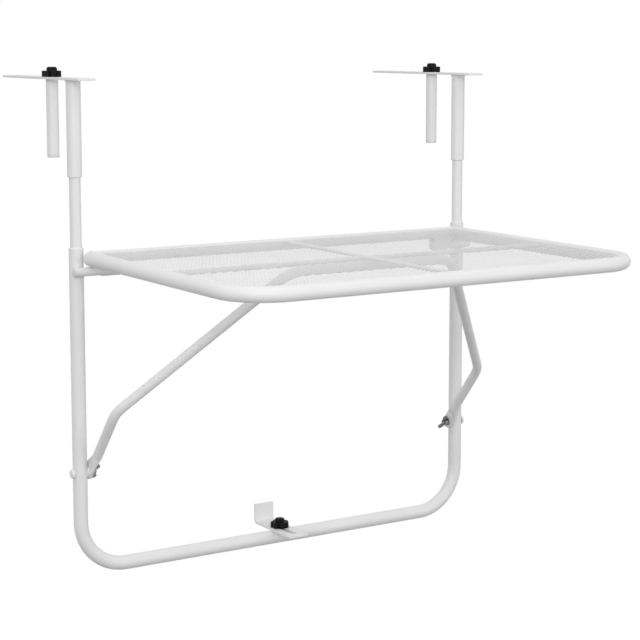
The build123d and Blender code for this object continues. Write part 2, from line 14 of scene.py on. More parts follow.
import bpy
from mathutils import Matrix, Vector


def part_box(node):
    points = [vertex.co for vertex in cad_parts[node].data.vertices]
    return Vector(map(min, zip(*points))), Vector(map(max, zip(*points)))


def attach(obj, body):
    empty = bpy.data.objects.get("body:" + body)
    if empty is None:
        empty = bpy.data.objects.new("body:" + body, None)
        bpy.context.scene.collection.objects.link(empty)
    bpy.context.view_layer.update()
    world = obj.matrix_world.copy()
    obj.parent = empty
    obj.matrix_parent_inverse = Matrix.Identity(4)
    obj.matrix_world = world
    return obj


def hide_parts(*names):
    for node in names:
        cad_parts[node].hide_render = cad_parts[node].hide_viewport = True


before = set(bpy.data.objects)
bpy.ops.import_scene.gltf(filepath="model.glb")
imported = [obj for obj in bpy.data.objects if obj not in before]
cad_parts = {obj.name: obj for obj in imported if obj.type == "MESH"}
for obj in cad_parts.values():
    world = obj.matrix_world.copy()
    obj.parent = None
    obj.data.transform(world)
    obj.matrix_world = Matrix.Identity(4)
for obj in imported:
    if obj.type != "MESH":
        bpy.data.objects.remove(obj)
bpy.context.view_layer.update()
log = logging.getLogger("balcony_table")

MM = 0.001
# A noise pattern's values lie mostly between these two.
NOISE_LOW, NOISE_HIGH = 0.3, 0.7


class Slot(Enum):
    """The record's material slots."""

    WHITE_STEEL = "white_steel"
    WHITE_PLASTIC = "white_plastic"
    BLACK_PLASTIC = "black_plastic"
    ZINC_STEEL = "zinc_steel"


class Side(Enum):
    """The two sides of the table, seen from its front."""

    LEFT = -1
    RIGHT = 1

    @property
    def word(self) -> str:
        """Name of the side as the nodes spell it."""
        return self.name.lower()


def linear(hex_colour: str) -> tuple[float, float, float, float]:
    """Turn an sRGB hex colour into linear light.

    Args:
        hex_colour: Colour as "#RRGGBB".

    Returns:
        Red, green, blue and alpha.
    """
    steps = [int(hex_colour[place:place + 2], 16) / 255 for place in (1, 3, 5)]
    light = [step / 12.92 if step <= 0.04045 else ((step + 0.055) / 1.055) ** 2.4 for step in steps]
    return (*light, 1.0)


def add_node(tree: bpy.types.NodeTree, kind: str, inputs: dict[Any, Any] | None = None,
             **settings: Any) -> bpy.types.Node:
    """Add a node, with its settings and its inputs.

    Args:
        tree: Node tree that gets the node.
        kind: The node's type name.
        inputs: Input name or number, with a value or with the socket to link from.
        settings: The node's own properties.

    Returns:
        The new node.
    """
    node = tree.nodes.new(kind)
    for name, value in settings.items():
        setattr(node, name, value)
    for key, value in (inputs or {}).items():
        if isinstance(value, bpy.types.NodeSocket):
            tree.links.new(value, node.inputs[key])
        else:
            node.inputs[key].default_value = value
    return node


@dataclass(frozen=True)
class PowderCoat:
    """Polyester powder sprayed and baked on steel: a satin white film over every tube and strip."""

    name: str = "white_powder_coat"
    colour: str = "#EDEDED"
    thin_colour: str = "#E6E6E6"
    roughness: float = 0.40
    roughness_spread: float = 0.10
    cloud_mm: float = 70.0
    peel_mm: float = 2.4
    peel_height_mm: float = 0.035

    def material(self) -> bpy.types.Material:
        """Build the material: cloudy film thickness, uneven gloss and a fine orange peel."""
        material, tree, shader, place = start_material(self.name)
        # The film is a little thinner in places, so the white drifts softly along a tube.
        cloud = add_noise(tree, place, self.cloud_mm, detail=2.0)
        tint = add_tint(tree, cloud, self.thin_colour, self.colour)
        tree.links.new(tint, shader.inputs["Base Color"])
        # Baked powder flows into shallow dimples that break up the edge of a highlight.
        peel = add_noise(tree, place, self.peel_mm, detail=1.0)
        add_bump(tree, shader, peel, self.peel_height_mm)
        add_gloss(tree, shader, cloud, self.roughness, self.roughness_spread)
        return material


@dataclass(frozen=True)
class MouldedPlastic:
    """Injection-moulded plastic with the fine grain of an etched mould: caps, plugs and knob grips."""

    name: str
    colour: str
    worn_colour: str
    roughness: float
    roughness_spread: float = 0.12
    specular: float = 0.5
    cloud_mm: float = 9.0
    grain_mm: float = 0.9
    grain_height_mm: float = 0.03

    def material(self) -> bpy.types.Material:
        """Build the material: handled patches, a matt grain and its small highlights."""
        material, tree, shader, place = start_material(self.name)
        shader.inputs["Specular IOR Level"].default_value = self.specular
        # Handling polishes the skin in patches, which sets the plastic off from the painted steel.
        cloud = add_noise(tree, place, self.cloud_mm, detail=3.0)
        tint = add_tint(tree, cloud, self.colour, self.worn_colour)
        tree.links.new(tint, shader.inputs["Base Color"])
        # The etched mould leaves a grain of tiny pits.
        grain = add_node(tree, "ShaderNodeTexVoronoi", {"Vector": place,
                                                        "Scale": 1 / (self.grain_mm * MM)})
        add_bump(tree, shader, grain.outputs["Distance"], self.grain_height_mm)
        add_gloss(tree, shader, cloud, self.roughness, self.roughness_spread)
        return material


@dataclass(frozen=True)
class ZincPlate:
    """Barrel zinc plating on pressed steel: bolts, nuts, studs and rivets."""

    name: str = "zinc_plated_steel"
    colour: str = "#929292"
    dull_colour: str = "#606060"
    roughness: float = 0.30
    roughness_spread: float = 0.18
    patch_mm: float = 2.6
    tumble_mm: float = 0.8
    tumble_height_mm: float = 0.03

    def material(self) -> bpy.types.Material:
        """Build the material: grey metal with duller patches and marks of the tumbling barrel."""
        material, tree, shader, place = start_material(self.name)
        shader.inputs["Metallic"].default_value = 1.0
        # Passivated zinc is never even: duller patches lie between the bright ones.
        patch = add_noise(tree, place, self.patch_mm, detail=4.0)
        tint = add_tint(tree, patch, self.dull_colour, self.colour)
        tree.links.new(tint, shader.inputs["Base Color"])
        # Parts knock against each other in the plating barrel and keep small dents.
        tumble = add_noise(tree, place, self.tumble_mm, detail=2.0)
        add_bump(tree, shader, tumble, self.tumble_height_mm)
        add_gloss(tree, shader, patch, self.roughness, self.roughness_spread)
        return material


def start_material(name: str) -> tuple[bpy.types.Material, bpy.types.NodeTree, bpy.types.Node,
                                       bpy.types.NodeSocket]:
    """Start a material that is drawn from object coordinates.

    Args:
        name: The material's name.

    Returns:
        The material, its node tree, its shader and the socket with the place on the object.
    """
    material = bpy.data.materials.new(name)
    material.use_nodes = True
    tree = material.node_tree
    place = add_node(tree, "ShaderNodeTexCoord").outputs["Object"]
    return material, tree, tree.nodes["Principled BSDF"], place


def add_noise(tree: bpy.types.NodeTree, place: bpy.types.NodeSocket, size_mm: float,
              detail: float) -> bpy.types.NodeSocket:
    """Add a noise pattern whose blobs have a real size.

    Args:
        tree: The material's node tree.
        place: Place on the object.
        size_mm: Size of the blobs.
        detail: Steps of finer noise on top.

    Returns:
        The pattern, about 0 to 1.
    """
    noise = add_node(tree, "ShaderNodeTexNoise", {"Vector": place, "Scale": 1 / (size_mm * MM),
                                                  "Detail": detail})
    return noise.outputs["Fac"]


def add_tint(tree: bpy.types.NodeTree, pattern: bpy.types.NodeSocket, low: str,
             high: str) -> bpy.types.NodeSocket:
    """Blend two hex colours by a pattern, from its low values to its high ones."""
    mix = add_node(tree, "ShaderNodeMix", {0: pattern, 6: linear(low), 7: linear(high)}, data_type="RGBA")
    return mix.outputs[2]


def add_gloss(tree: bpy.types.NodeTree, shader: bpy.types.Node, pattern: bpy.types.NodeSocket,
              roughness: float, spread: float) -> None:
    """Make a shader's gloss uneven.

    Args:
        tree: The material's node tree.
        shader: Its shader.
        pattern: Noise whose high values are glossier.
        roughness: Roughness in the middle.
        spread: Difference between the roughest and the glossiest places.
    """
    gloss = add_node(tree, "ShaderNodeMapRange", {
        "Value": pattern, "From Min": NOISE_LOW, "From Max": NOISE_HIGH,
        "To Min": roughness + spread / 2, "To Max": roughness - spread / 2})
    tree.links.new(gloss.outputs[0], shader.inputs["Roughness"])


def add_bump(tree: bpy.types.NodeTree, shader: bpy.types.Node, height: bpy.types.NodeSocket,
             height_mm: float) -> None:
    """Roughen a shader's surface.

    Args:
        tree: The material's node tree.
        shader: Its shader.
        height: Pattern from 0 in the pits to 1 on the tops.
        height_mm: Real height of the tops over the pits.
    """
    bump = add_node(tree, "ShaderNodeBump", {"Height": height, "Strength": 1.0,
                                             "Distance": height_mm * MM})
    tree.links.new(bump.outputs["Normal"], shader.inputs["Normal"])


@dataclass(frozen=True)
class PaintedHeadBolt:
    """A plated bolt put in before the frame was sprayed: a white head and a masked thread."""

    coat: PowderCoat
    plate: ZincPlate
    head_from: float
    name: str = "zinc_bolt_with_painted_head"

    def material(self) -> bpy.types.Material:
        """Build the material: white powder beyond the upright's outer side, and zinc inside of it."""
        material, tree, shader, place = start_material(self.name)
        way = add_node(tree, "ShaderNodeSeparateXYZ", {0: place})
        outward = add_node(tree, "ShaderNodeMath", {0: way.outputs[0]}, operation="ABSOLUTE")
        bare = add_node(tree, "ShaderNodeMath", {0: outward.outputs[0], 1: self.head_from},
                        operation="LESS_THAN")
        tree.links.new(bare.outputs[0], shader.inputs["Metallic"])
        # The sprayed head goes with the upright's white. Only the masked end still looks like metal.
        patch = add_noise(tree, place, self.plate.patch_mm, detail=4.0)
        zinc = add_tint(tree, patch, self.plate.dull_colour, self.plate.colour)
        tint = add_node(tree, "ShaderNodeMix", {0: bare.outputs[0], 6: linear(self.coat.colour), 7: zinc},
                        data_type="RGBA")
        tree.links.new(tint.outputs[2], shader.inputs["Base Color"])
        gloss = add_node(tree, "ShaderNodeMapRange", {
            "Value": bare.outputs[0], "To Min": self.coat.roughness, "To Max": self.plate.roughness})
        tree.links.new(gloss.outputs[0], shader.inputs["Roughness"])
        add_bump(tree, shader, patch, self.plate.tumble_height_mm)
        return material


@dataclass
class FinishShop:
    """Makes each finish once and puts it on pieces."""

    materials: dict[Slot, bpy.types.Material] = field(default_factory=dict)
    join_mm: float = 0.002
    flat_deg: float = 0.5
    edge_deg: float = 50.0
    edge_steps: int = 3

    def open(self) -> None:
        """Build the four materials."""
        self.materials = {
            Slot.WHITE_STEEL: PowderCoat().material(),
            Slot.WHITE_PLASTIC: MouldedPlastic("white_moulded_plastic", "#E6E6E6", "#DEDEDE",
                                               roughness=0.5).material(),
            Slot.BLACK_PLASTIC: MouldedPlastic("black_moulded_plastic", "#0B0B0C", "#121213",
                                               roughness=0.5, specular=0.12).material(),
            Slot.ZINC_STEEL: ZincPlate().material(),
        }

    def dress(self, node: str, slot: Slot) -> None:
        """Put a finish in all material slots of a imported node."""
        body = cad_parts[node]
        if not body.material_slots:
            body.data.materials.append(None)
        for place in body.material_slots:
            place.material = self.materials[slot]
        log.info("%s: %s", node, slot.value)

    def soften(self, node: str, body: str, width_mm: float) -> None:
        """Stand in for a cut strip with a merged copy whose edges are rounded, as thick powder does.

        Args:
            node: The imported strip, which already has its finish.
            body: The body that the strip belongs to.
            width_mm: Width of the rounding.
        """
        piece = bpy.data.objects.new(f"soft_{node}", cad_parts[node].data.copy())
        bpy.context.scene.collection.objects.link(piece)
        piece.modifiers.new("join", "WELD").merge_threshold = self.join_mm * MM
        flat = piece.modifiers.new("flat_faces", "DECIMATE")
        flat.decimate_type = "DISSOLVE"
        flat.angle_limit = math.radians(self.flat_deg)
        edge = piece.modifiers.new("soft_edges", "BEVEL")
        edge.width = width_mm * MM
        edge.segments = self.edge_steps
        edge.limit_method = "ANGLE"
        edge.angle_limit = math.radians(self.edge_deg)
        edge.harden_normals = True
        graph = bpy.context.evaluated_depsgraph_get()
        mesh = bpy.data.meshes.new_from_object(piece.evaluated_get(graph), depsgraph=graph)
        piece.modifiers.clear()
        piece.data = mesh
        self.adopt(piece, body, Slot.WHITE_STEEL)
        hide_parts(node)

    def adopt(self, piece: bpy.types.Object, body: str, slot: Slot) -> None:
        """Give a new piece its body."""
        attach(piece, body)
        log.info("%s: %d faces on %s", piece.name, len(piece.data.polygons), body)


def start_tree(name: str, sockets: dict[str, str]) -> tuple[bpy.types.NodeTree, bpy.types.Node]:
    """Start a geometry tree with named inputs.

    Args:
        name: The tree's name.
        sockets: Input names, each with its socket type.

    Returns:
        The tree and its input node.
    """
    tree = bpy.data.node_groups.new(name, "GeometryNodeTree")
    for label, kind in sockets.items():
        tree.interface.new_socket(label, in_out="INPUT", socket_type=kind)
    tree.interface.new_socket("Geometry", in_out="OUTPUT", socket_type="NodeSocketGeometry")
    return tree, tree.nodes.new("NodeGroupInput")


def end_tree(tree: bpy.types.NodeTree, shape: bpy.types.NodeSocket, material: bpy.types.NodeSocket,
             smooth: bool = True) -> None:
    """End a geometry tree with shading, realized instances and one material.

    Args:
        tree: The geometry tree.
        shape: Its finished shape.
        material: The material's input.
        smooth: Whether the faces are shaded as one round surface.
    """
    shaded = add_node(tree, "GeometryNodeSetShadeSmooth", {0: shape, "Shade Smooth": smooth})
    real = add_node(tree, "GeometryNodeRealizeInstances", {0: shaded.outputs[0]})
    dressed = add_node(tree, "GeometryNodeSetMaterial", {0: real.outputs[0], "Material": material})
    add_node(tree, "NodeGroupOutput", {0: dressed.outputs[0]})


def bake(name: str, tree: bpy.types.NodeTree, values: dict[str, Any],
         path: list[list[Vector]] | None = None) -> bpy.types.Object:
    """Run a geometry tree once and keep the plain mesh.

    Args:
        name: Name of the new object.
        tree: The geometry tree.
        values: Its inputs by name.
        path: Lines of points that the tree works along, if it needs any.

    Returns:
        The object, at the origin, with the finished mesh.
    """
    start = bpy.data.meshes.new(name + "_start")
    points = [point for line in path or [] for point in line]
    edges, first = [], 0
    for line in path or []:
        edges += [(first + step, first + step + 1) for step in range(len(line) - 1)]
        first += len(line)
    start.from_pydata(points, edges, [])
    piece = bpy.data.objects.new(name, start)
    bpy.context.scene.collection.objects.link(piece)
    modifier = piece.modifiers.new("build", "NODES")
    modifier.node_group = tree
    for socket in tree.interface.items_tree:
        if socket.in_out == "INPUT" and socket.name in values:
            modifier[socket.identifier] = values[socket.name]
    graph = bpy.context.evaluated_depsgraph_get()
    mesh = bpy.data.meshes.new_from_object(piece.evaluated_get(graph), depsgraph=graph)
    mesh.name = name
    piece.modifiers.remove(modifier)
    piece.data = mesh
    bpy.data.meshes.remove(start)
    return piece


def bead_tree(sides: int = 10, ripple_points: int = 4) -> bpy.types.NodeTree:
    """Build the tree of a weld bead: a rippled round ridge along a path.

    Args:
        sides: Sides of the bead's section.
        ripple_points: Points along each ripple.

    Returns:
        The geometry tree.
    """
    tree, given = start_tree("weld_bead", {
        "Path": "NodeSocketGeometry", "Bead Radius": "NodeSocketFloat", "Ripple": "NodeSocketFloat",
        "Ripple Share": "NodeSocketFloat", "Material": "NodeSocketMaterial"})
    curve = add_node(tree, "GeometryNodeMeshToCurve", {0: given.outputs["Path"]})
    step = add_node(tree, "ShaderNodeMath", {0: given.outputs["Ripple"], 1: 1 / ripple_points},
                    operation="MULTIPLY")
    fine = add_node(tree, "GeometryNodeResampleCurve", {0: curve.outputs[0], "Length": step.outputs[0]},
                    mode="LENGTH")
    along = add_node(tree, "GeometryNodeSplineParameter")
    turns = add_node(tree, "ShaderNodeMath", {0: along.outputs["Length"], 1: given.outputs["Ripple"]},
                     operation="DIVIDE")
    angle = add_node(tree, "ShaderNodeMath", {0: turns.outputs[0], 1: math.tau}, operation="MULTIPLY")
    wave = add_node(tree, "ShaderNodeMath", {0: angle.outputs[0]}, operation="SINE")
    swell = add_node(tree, "ShaderNodeMath", {0: wave.outputs[0], 1: given.outputs["Ripple Share"],
                                              2: 1.0}, operation="MULTIPLY_ADD")
    ring = add_node(tree, "GeometryNodeCurvePrimitiveCircle", {"Resolution": sides,
                                                               "Radius": given.outputs["Bead Radius"]})
    body = add_node(tree, "GeometryNodeCurveToMesh", {"Curve": fine.outputs[0],
                                                      "Profile Curve": ring.outputs[0],
                                                      "Scale": swell.outputs[0], "Fill Caps": True})
    end_tree(tree, body.outputs[0], given.outputs["Material"])
    return tree


@dataclass
class Welder:
    """Lays weld beads of one size."""

    shop: FinishShop
    bead_mm: float = 1.3
    ripple_mm: float = 1.5
    ripple_share: float = 0.14
    tree: bpy.types.NodeTree | None = None

    def lay(self, name: str, body: str, paths: list[list[Vector]]) -> None:
        """Lay beads along paths and let them ride on a body.

        Args:
            name: Name of the new piece.
            body: The body that it rides on.
            paths: Lines of points, one for each bead.
        """
        self.tree = self.tree or bead_tree()
        piece = bake(name, self.tree, {
            "Bead Radius": self.bead_mm * MM, "Ripple": self.ripple_mm * MM,
            "Ripple Share": self.ripple_share,
            "Material": self.shop.materials[Slot.WHITE_STEEL]}, paths)
        self.shop.adopt(piece, body, Slot.WHITE_STEEL)


def middle(node: str) -> Vector:
    """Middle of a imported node's box."""
    low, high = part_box(node)
    return (Vector(low) + Vector(high)) / 2


def span(node: str) -> Vector:
    """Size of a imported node's box."""
    low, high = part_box(node)
    return Vector(high) - Vector(low)


def thread_tree(turn_points: int = 24, ridge_share: float = 0.42) -> bpy.types.NodeTree:
    """Build the tree of a screw thread: a sharp ridge wound round the X axis.

    Args:
        turn_points: Points along each turn.
        ridge_share: Half width of the ridge as a share of the pitch.

    Returns:
        The geometry tree.
    """
    tree, given = start_tree("screw_thread", {
        "Tip": "NodeSocketVector", "Turn": "NodeSocketRotation", "Radius": "NodeSocketFloat",
        "Pitch": "NodeSocketFloat", "Turns": "NodeSocketFloat", "Material": "NodeSocketMaterial"})
    length = add_node(tree, "ShaderNodeMath", {0: given.outputs["Pitch"], 1: given.outputs["Turns"]},
                      operation="MULTIPLY")
    helix = add_node(tree, "GeometryNodeCurveSpiral", {
        "Resolution": turn_points, "Rotations": given.outputs["Turns"],
        "Start Radius": given.outputs["Radius"], "End Radius": given.outputs["Radius"],
        "Height": length.outputs[0]})
    ridge = add_node(tree, "ShaderNodeMath", {0: given.outputs["Pitch"], 1: ridge_share},
                     operation="MULTIPLY")
    section = add_node(tree, "GeometryNodeCurvePrimitiveCircle", {"Resolution": 4,
                                                                  "Radius": ridge.outputs[0]})
    body = add_node(tree, "GeometryNodeCurveToMesh", {"Curve": helix.outputs[0],
                                                      "Profile Curve": section.outputs[0],
                                                      "Fill Caps": True})
    placed = add_node(tree, "GeometryNodeTransform", {0: body.outputs[0],
                                                      "Translation": given.outputs["Tip"],
                                                      "Rotation": given.outputs["Turn"]})
    end_tree(tree, placed.outputs[0], given.outputs["Material"], smooth=False)
    return tree


@dataclass
class MainFrame:
    """The bent main tube with its hinge stubs, pivot bolts and screws."""

    shop: FinishShop
    welder: Welder
    steps: int = 48
    thread_pitch_mm: float = 1.0
    thread_radius_mm: float = 2.75
    thread_turns: float = 2.0
    hub_height_mm: float = 6.5
    paint_lap_mm: float = 1.0

    def build(self) -> None:
        """Dress the fixed pieces, weld the stubs to the uprights and cut the bolts' threads."""
        for node in ("base_frame", "hinge_stubs"):
            self.shop.dress(node, Slot.WHITE_STEEL)
        for node in ("hinge_stub_plugs", "pivot_saddles"):
            self.shop.dress(node, Slot.WHITE_PLASTIC)
        for node in ("pivot_bolts", "foot_rivet_nut", "height_lock_screws"):
            self.shop.dress(node, Slot.ZINC_STEEL)
        outer_x = span("base_frame").x / 2
        bolt = PaintedHeadBolt(PowderCoat(), ZincPlate(), outer_x - self.paint_lap_mm * MM)
        painted = bolt.material()
        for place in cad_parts["pivot_bolts"].material_slots:
            place.material = painted
        self.welder.lay("stub_welds", "base", [self.seat_loop(side) for side in Side])
        for side in Side:
            self.cut_thread(side)

    def seat_loop(self, side: Side) -> list[Vector]:
        """Loop where a hinge stub meets the front of its upright."""
        leg_radius = span("base_frame").y / 2
        leg_x = span("base_frame").x / 2 - leg_radius
        stub, stub_radius = middle("hinge_stubs"), span("hinge_stubs").z / 2
        half_height = math.sqrt(stub_radius ** 2 - (-stub.y - leg_radius) ** 2)
        loop = []
        for step in range(self.steps + 1):
            angle = math.tau * step / self.steps
            rise = half_height * math.sin(angle)
            depth = stub.y + math.sqrt(stub_radius ** 2 - rise ** 2)
            reach = math.copysign(math.sqrt(max(leg_radius ** 2 - depth ** 2, 0.0)), math.cos(angle))
            loop.append(Vector((side.value * leg_x + reach, depth, stub.z + rise)))
        return loop

    def cut_thread(self, side: Side) -> None:
        """Wind a thread on the bolt's end that shows beyond the wing nut."""
        nut = f"{side.word}_wing_nut"
        low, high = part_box(nut)
        seat = high[0] if side is Side.RIGHT else low[0]
        start = seat - side.value * self.hub_height_mm * MM
        piece = bake(f"{side.word}_bolt_thread", self.thread(), {
            "Tip": (start, 0.0, middle("pivot_bolts").z), "Turn": (0.0, -side.value * math.pi / 2, 0.0),
            "Radius": self.thread_radius_mm * MM, "Pitch": self.thread_pitch_mm * MM,
            "Turns": self.thread_turns, "Material": self.shop.materials[Slot.ZINC_STEEL]})
        self.shop.adopt(piece, "base", Slot.ZINC_STEEL)

    @staticmethod
    def thread() -> bpy.types.NodeTree:
        """The thread's tree, built once."""
        return bpy.data.node_groups.get("screw_thread") or thread_tree()


def net_tree(least_share: float = 0.08) -> bpy.types.NodeTree:
    """Build the tree of an expanded-metal sheet that fills a panel with two rounded corners.

    Each row is one zigzag strand. Neighbouring rows lie side by side at their bends, as bonds do
    between the slits of the stretched sheet, and leave diamond openings.

    Args:
        least_share: Least share of a strand's step that is left at the rim, so that no end is flat.

    Returns:
        The geometry tree.
    """
    tree, given = start_tree("expanded_metal", {
        "Half Width": "NodeSocketFloat", "Front": "NodeSocketFloat", "Corner Radius": "NodeSocketFloat",
        "Height": "NodeSocketFloat", "Half Long Way": "NodeSocketFloat", "Row Pitch": "NodeSocketFloat",
        "Rows": "NodeSocketInt", "Bends": "NodeSocketInt", "Bond Length": "NodeSocketFloat",
        "Swing": "NodeSocketFloat", "Strand Width": "NodeSocketFloat",
        "Strand Thickness": "NodeSocketFloat", "Material": "NodeSocketMaterial"})
    half, front, corner = (given.outputs[name] for name in ("Half Width", "Front", "Corner Radius"))
    step, pitch = given.outputs["Half Long Way"], given.outputs["Row Pitch"]

    def sum_of(operation: str, *values: Any) -> bpy.types.NodeSocket:
        """Add one sum and give its result."""
        return add_node(tree, "ShaderNodeMath", dict(enumerate(values)), operation=operation).outputs[0]

    def spot(x: Any, y: Any, z: Any = 0.0) -> bpy.types.NodeSocket:
        """Join three numbers to a place."""
        return add_node(tree, "ShaderNodeCombineXYZ", {0: x, 1: y, 2: z}).outputs[0]

    def places() -> Any:
        """Give the three numbers of a point's place."""
        place = add_node(tree, "GeometryNodeInputPosition")
        return add_node(tree, "ShaderNodeSeparateXYZ", {0: place.outputs[0]}).outputs

    # A straight strand with two points for each bend, repeated row by row from front to rear.
    half_step = sum_of("MULTIPLY", step, 0.5)
    reach = sum_of("MULTIPLY", sum_of("SUBTRACT", given.outputs["Bends"], 1.0), half_step)
    tip = sum_of("MULTIPLY_ADD", step, 0.25, reach)
    line = add_node(tree, "GeometryNodeCurvePrimitiveLine", {
        "Start": spot(sum_of("MULTIPLY", tip, -1.0), 0.0), "End": spot(tip, 0.0)})
    strand = add_node(tree, "GeometryNodeResampleCurve", {
        0: line.outputs[0], "Count": sum_of("MULTIPLY", given.outputs["Bends"], 2.0)})
    first = sum_of("MULTIPLY_ADD", pitch, 0.5, front)
    rows = add_node(tree, "GeometryNodeMeshLine", {
        0: given.outputs["Rows"], 2: spot(0.0, first, given.outputs["Height"]), 3: spot(0.0, pitch)})
    strands = add_node(tree, "GeometryNodeInstanceOnPoints", {"Points": rows.outputs[0],
                                                              "Instance": strand.outputs[0]})
    real = add_node(tree, "GeometryNodeRealizeInstances", {0: strands.outputs[0]})

    # The two points of a bend close in to the bond's length. Every second bend of a row swings forward
    # and the others swing back, and the next row does the reverse.
    x, y, z = places()
    point = sum_of("ROUND", sum_of("DIVIDE", sum_of("ADD", x, tip), half_step))
    column = sum_of("FLOOR", sum_of("MULTIPLY", point, 0.5))
    hand = sum_of("SUBTRACT", sum_of("MODULO", point, 2.0), 0.5)
    bend_x = sum_of("SUBTRACT", sum_of("MULTIPLY", column, step), reach)
    bond_x = sum_of("MULTIPLY_ADD", hand, given.outputs["Bond Length"], bend_x)
    row = sum_of("ROUND", sum_of("DIVIDE", sum_of("SUBTRACT", y, first), pitch))
    odd = sum_of("MODULO", sum_of("ADD", column, row), 2.0)
    bond_y = sum_of("MULTIPLY_ADD", sum_of("SUBTRACT", odd, 0.5), given.outputs["Swing"], y)
    bent = add_node(tree, "GeometryNodeSetPosition", {0: real.outputs[0],
                                                      "Position": spot(bond_x, bond_y, z)})

    # The sides and the rounded front corners of the rim cut the rows short. Of the points beyond a
    # row's end only the innermost is kept, and it moves back along its strand to the rim.
    x, y, _ = places()
    inside = sum_of("MAXIMUM", sum_of("SUBTRACT", sum_of("ADD", front, corner), y), 0.0)
    under = sum_of("SUBTRACT", sum_of("POWER", corner, 2.0), sum_of("POWER", inside, 2.0))
    cut = sum_of("SUBTRACT", corner, sum_of("SQRT", sum_of("MAXIMUM", under, 0.0)))
    margin = sum_of("SUBTRACT", sum_of("SUBTRACT", half, cut), sum_of("ABSOLUTE", x))
    outside = sum_of("LESS_THAN", margin, 0.0)
    inward = sum_of("SUBTRACT", add_node(tree, "GeometryNodeInputIndex").outputs[0], sum_of("SIGN", x))

    def at_inner(value: bpy.types.NodeSocket, kind: str = "FLOAT") -> bpy.types.NodeSocket:
        """Give a value as it is at the next point towards the middle of the row."""
        return add_node(tree, "GeometryNodeFieldAtIndex", {"Value": value, "Index": inward},
                        data_type=kind).outputs[0]

    kept = add_node(tree, "GeometryNodeDeleteGeometry", {
        0: bent.outputs[0], "Selection": sum_of("MULTIPLY", outside, at_inner(outside))})
    room = at_inner(margin)
    share = sum_of("MAXIMUM", sum_of("DIVIDE", room, sum_of("SUBTRACT", room, margin)),
                   least_share)
    place = add_node(tree, "GeometryNodeInputPosition").outputs[0]
    met = add_node(tree, "ShaderNodeMix", {0: share, 4: at_inner(place, "FLOAT_VECTOR"), 5: place},
                   data_type="VECTOR")
    fitted = add_node(tree, "GeometryNodeSetPosition", {0: kept.outputs[0], "Selection": outside,
                                                        "Position": met.outputs[1]})
    level = add_node(tree, "GeometryNodeSetCurveNormal", {0: fitted.outputs[0]}, mode="Z_UP")
    section = add_node(tree, "GeometryNodeCurvePrimitiveQuadrilateral", {
        "Width": given.outputs["Strand Width"], "Height": given.outputs["Strand Thickness"]})
    mesh = add_node(tree, "GeometryNodeCurveToMesh", {"Curve": level.outputs[0],
                                                      "Profile Curve": section.outputs[0],
                                                      "Fill Caps": True})
    end_tree(tree, mesh.outputs[0], given.outputs["Material"], smooth=False)
    return tree


@dataclass
class TableTop:
    """The rim with its mesh, bars and hinge straps."""

    shop: FinishShop
    welder: Welder
    corner_radius_mm: float = 50.7
    long_way_mm: float = 15.0
    short_way_mm: float = 9.0
    strand_width_mm: float = 1.1
    strand_thickness_mm: float = 0.4
    bond_length_mm: float = 2.2
    bond_overlap_mm: float = 0.06
    strap_width_mm: float = 26.0
    edge_mm: float = 0.4
    steps: int = 48

    def build(self) -> None:
        """Dress the rim and the bars and lay the mesh."""
        for node in ("table_rim", "table_rear_tube", "table_mid_bar", "table_spine_bars",
                     "hinge_straps", "table_net"):
            self.shop.dress(node, Slot.WHITE_STEEL)
        self.shop.dress("rim_end_plugs", Slot.WHITE_PLASTIC)
        for node in ("table_spine_bars", "hinge_straps"):
            self.shop.soften(node, "table_top", self.edge_mm)
        self.lay_mesh()
        crossings = [self.cope_ring(side, node) for side in Side
                     for node in ("table_rear_tube", "table_mid_bar")]
        self.welder.lay("rim_welds", "table_top", crossings)
        self.welder.lay("strap_welds", "table_top", self.strap_lines())

    def cope_ring(self, side: Side, node: str) -> list[Vector]:
        """Work out the ring where a tube across the table meets a side tube of the rim.

        Args:
            side: Side of the table.
            node: The tube that lies across.

        Returns:
            Points of the closed ring.
        """
        centre, radius = middle(node), span(node).z / 2
        rim_radius = span("table_rim").z / 2
        rim_x, rim_z = span("table_rim").x / 2 - rim_radius, middle("table_rim").z
        ring = []
        for step in range(self.steps + 1):
            angle = math.tau * step / self.steps
            rise = centre.z + radius * math.sin(angle)
            reach = rim_x - math.sqrt(max(rim_radius ** 2 - (rise - rim_z) ** 2, 0.0))
            ring.append(Vector((side.value * reach, centre.y + radius * math.cos(angle), rise)))
        return ring

    def strap_lines(self) -> list[list[Vector]]:
        """Lines where the hinge straps end under the rear tube, in front and behind."""
        low, high = (Vector(corner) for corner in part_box("hinge_straps"))
        lines = []
        for side in Side:
            outer = side.value * high.x
            inner = outer - side.value * self.strap_width_mm * MM
            for depth in (low.y, high.y):
                lines.append([Vector((outer, depth, high.z)), Vector((inner, depth, high.z))])
        return lines

    def lay_mesh(self) -> None:
        """Lay the expanded metal in the rim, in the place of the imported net."""
        low, high = (Vector(corner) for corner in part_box("table_net"))
        size = high - low
        rows = round(size.y / (self.short_way_mm * MM / 2))
        half_long_way = self.long_way_mm * MM / 2
        piece = bake("expanded_metal", net_tree(), {
            "Half Width": size.x / 2, "Front": low.y, "Corner Radius": self.corner_radius_mm * MM,
            "Height": high.z - self.strand_thickness_mm * MM / 2, "Half Long Way": half_long_way,
            "Row Pitch": size.y / rows, "Rows": rows,
            "Bends": 2 * math.ceil(size.x / 2 / half_long_way) + 1,
            "Bond Length": self.bond_length_mm * MM,
            "Swing": size.y / rows - (self.strand_width_mm - self.bond_overlap_mm) * MM,
            "Strand Width": self.strand_width_mm * MM,
            "Strand Thickness": self.strand_thickness_mm * MM,
            "Material": self.shop.materials[Slot.WHITE_STEEL]})
        self.shop.adopt(piece, "table_top", Slot.WHITE_STEEL)
        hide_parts("table_net")


